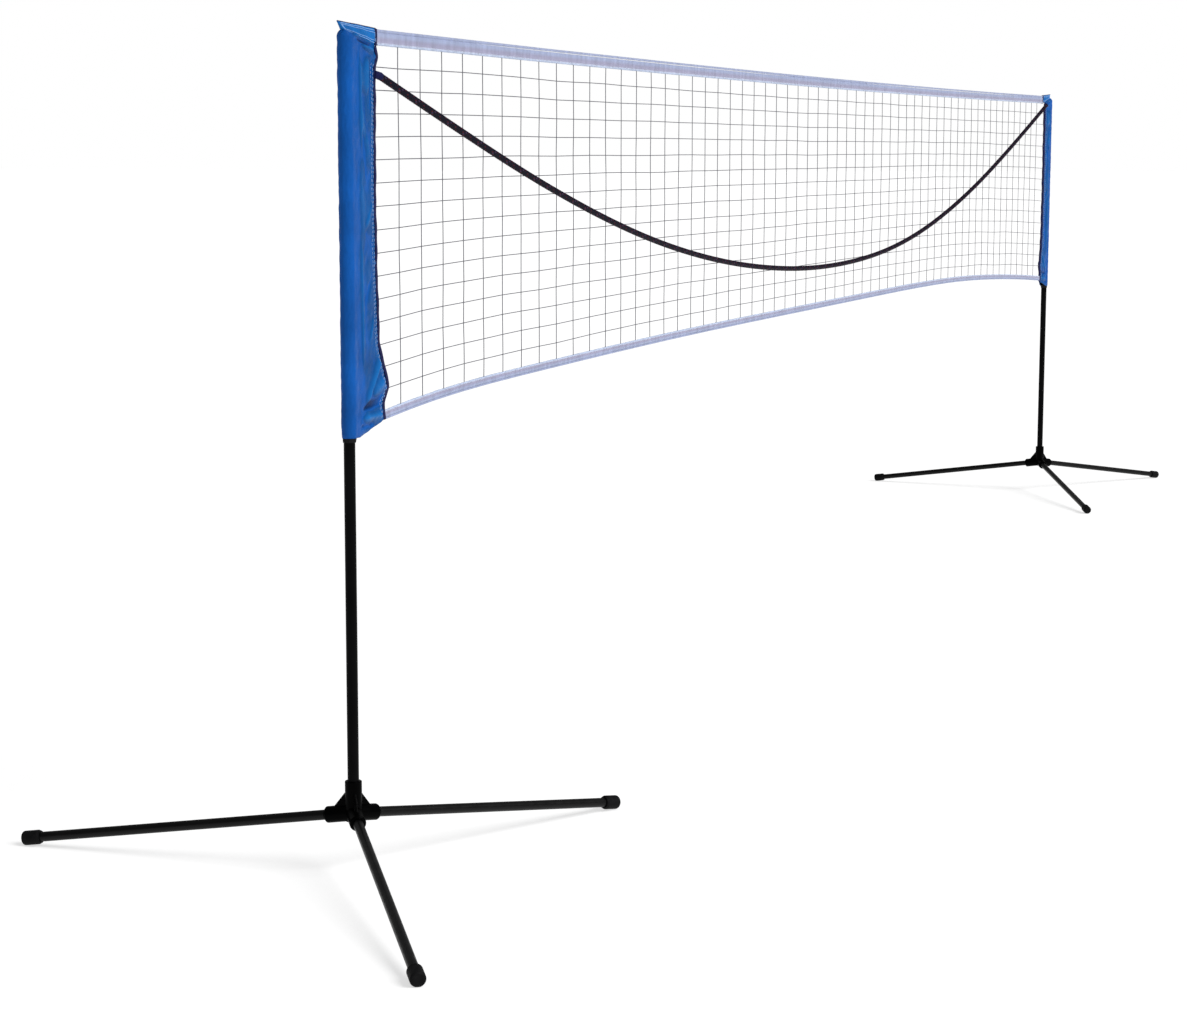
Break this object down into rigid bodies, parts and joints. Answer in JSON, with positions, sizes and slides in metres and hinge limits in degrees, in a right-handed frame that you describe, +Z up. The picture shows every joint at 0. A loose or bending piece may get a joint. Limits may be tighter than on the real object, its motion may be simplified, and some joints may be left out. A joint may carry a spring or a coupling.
{
  "type": "portable badminton net",
  "caption": "Free-standing sports net: mesh between white tapes, blue end sleeves over two telescoping posts on tripod stands, with a sagging braided cord.",
  "frame": {"origin": "centre of the whole net's bounding box in X and Y, on the floor", "axes": "+X along the net from the left post to the right post, +Z up, -Y towards the side where the loose cord hangs"},
  "size_m": [7.0408, 1.0946, 1.556],
  "materials": {
    "hub_plastic": "moulded satin black",
    "foot_rubber": "matte black",
    "black_tube": "satin black powder coat",
    "upper_tube": "satin dark grey powder coat",
    "fitting_plastic": "moulded black",
    "lock_plastic": "ribbed dark grey",
    "sleeve_fabric": "coated woven polyester, blue",
    "binding_tape": "woven navy binding",
    "cuff_elastic": "black knitted elastic",
    "white_tape": "white coated tape, bluish",
    "net_thread": "twisted dark grey thread",
    "head_line": "braided white line",
    "braided_cord": "braided black cord with dark red flecks"
  },
  "bodies": {
    "left_mast": {"left_lower_post": "black_tube", "left_collet": "fitting_plastic"},
    "left_tripod_hub": {"left_hub": "hub_plastic"},
    "left_leg_a_assembly": {"left_leg_a": "black_tube", "left_foot_a": "foot_rubber"},
    "left_leg_b_assembly": {"left_leg_b": "black_tube", "left_foot_b": "foot_rubber"},
    "left_leg_c_assembly": {"left_leg_c": "black_tube", "left_foot_c": "foot_rubber"},
    "left_twist_ring": {"left_lock_ring": "lock_plastic"},
    "left_upper_mast": {"left_upper_post": "upper_tube", "left_guide_plug": "fitting_plastic", "left_post_cap": "fitting_plastic"},
    "right_mast": {"right_lower_post": "black_tube", "right_collet": "fitting_plastic"},
    "right_tripod_hub": {"right_hub": "hub_plastic"},
    "right_leg_a_assembly": {"right_leg_a": "black_tube", "right_foot_a": "foot_rubber"},
    "right_leg_b_assembly": {"right_leg_b": "black_tube", "right_foot_b": "foot_rubber"},
    "right_leg_c_assembly": {"right_leg_c": "black_tube", "right_foot_c": "foot_rubber"},
    "right_twist_ring": {"right_lock_ring": "lock_plastic"},
    "right_upper_mast": {"right_upper_post": "upper_tube", "right_guide_plug": "fitting_plastic", "right_post_cap": "fitting_plastic"},
    "net": {"net_mesh": "net_thread", "top_tape": "white_tape", "bottom_tape": "white_tape", "head_cord": "head_line", "hanging_cord": "braided_cord", "left_sleeve": "sleeve_fabric", "left_edge_binding": "binding_tape", "left_hem_cuff": "cuff_elastic", "left_cord_tab": "binding_tape", "right_sleeve": "sleeve_fabric", "right_edge_binding": "binding_tape", "right_hem_cuff": "cuff_elastic", "right_cord_tab": "binding_tape"}
  },
  "joints": [
    {"name": "left_hub_swivel", "type": "hinge", "parent": "left_mast", "child": "left_tripod_hub", "pos_m": [-2.96144, -0.13646, 0.15], "axis": [0, 0, 1], "continuous": true},
    {"name": "left_leg_a_pull", "type": "slide", "parent": "left_tripod_hub", "child": "left_leg_a_assembly", "axis": [-0.1034, 0.9837, -0.1473], "range_m": [0, 0.045]},
    {"name": "left_leg_b_pull", "type": "slide", "parent": "left_tripod_hub", "child": "left_leg_b_assembly", "axis": [0.9036, -0.4023, -0.1473], "range_m": [0, 0.045]},
    {"name": "left_leg_c_pull", "type": "slide", "parent": "left_tripod_hub", "child": "left_leg_c_assembly", "axis": [-0.8002, -0.5814, -0.1473], "range_m": [0, 0.045]},
    {"name": "left_twist_lock", "type": "hinge", "parent": "left_mast", "child": "left_twist_ring", "pos_m": [-2.96144, -0.13646, 0.84], "axis": [0, 0, 1], "range_deg": [0, 120]},
    {"name": "right_hub_swivel", "type": "hinge", "parent": "right_mast", "child": "right_tripod_hub", "pos_m": [2.93856, -0.13646, 0.15], "axis": [0, 0, 1], "continuous": true},
    {"name": "right_leg_a_pull", "type": "slide", "parent": "right_tripod_hub", "child": "right_leg_a_assembly", "axis": [0.0431, 0.9882, -0.1473], "range_m": [0, 0.045]},
    {"name": "right_leg_b_pull", "type": "slide", "parent": "right_tripod_hub", "child": "right_leg_b_assembly", "axis": [0.8342, -0.5314, -0.1473], "range_m": [0, 0.045]},
    {"name": "right_leg_c_pull", "type": "slide", "parent": "right_tripod_hub", "child": "right_leg_c_assembly", "axis": [-0.8773, -0.4567, -0.1473], "range_m": [0, 0.045]},
    {"name": "right_twist_lock", "type": "hinge", "parent": "right_mast", "child": "right_twist_ring", "pos_m": [2.93856, -0.13646, 0.84], "axis": [0, 0, 1], "range_deg": [0, 120]},
    {"name": "left_telescope", "type": "slide", "parent": "left_mast", "child": "left_upper_mast", "axis": [0, 0, -1], "range_m": [0, 0.55]},
    {"name": "net_lift", "type": "slide", "parent": "left_upper_mast", "child": "net", "axis": [0, 0, 1], "range_m": [0, 0.75]},
    {"name": "right_sleeve_slide", "type": "slide", "parent": "net", "child": "right_upper_mast", "axis": [0, 0, -1], "range_m": [0, 0.75]},
    {"name": "right_telescope", "type": "slide", "parent": "right_upper_mast", "child": "right_mast", "axis": [0, 0, 1], "range_m": [0, 0.55]}
  ],
  "couplings": [
    {"joint": "right_sleeve_slide", "follows": "net_lift", "ratio": 1},
    {"joint": "right_telescope", "follows": "left_telescope", "ratio": 1}
  ]
}
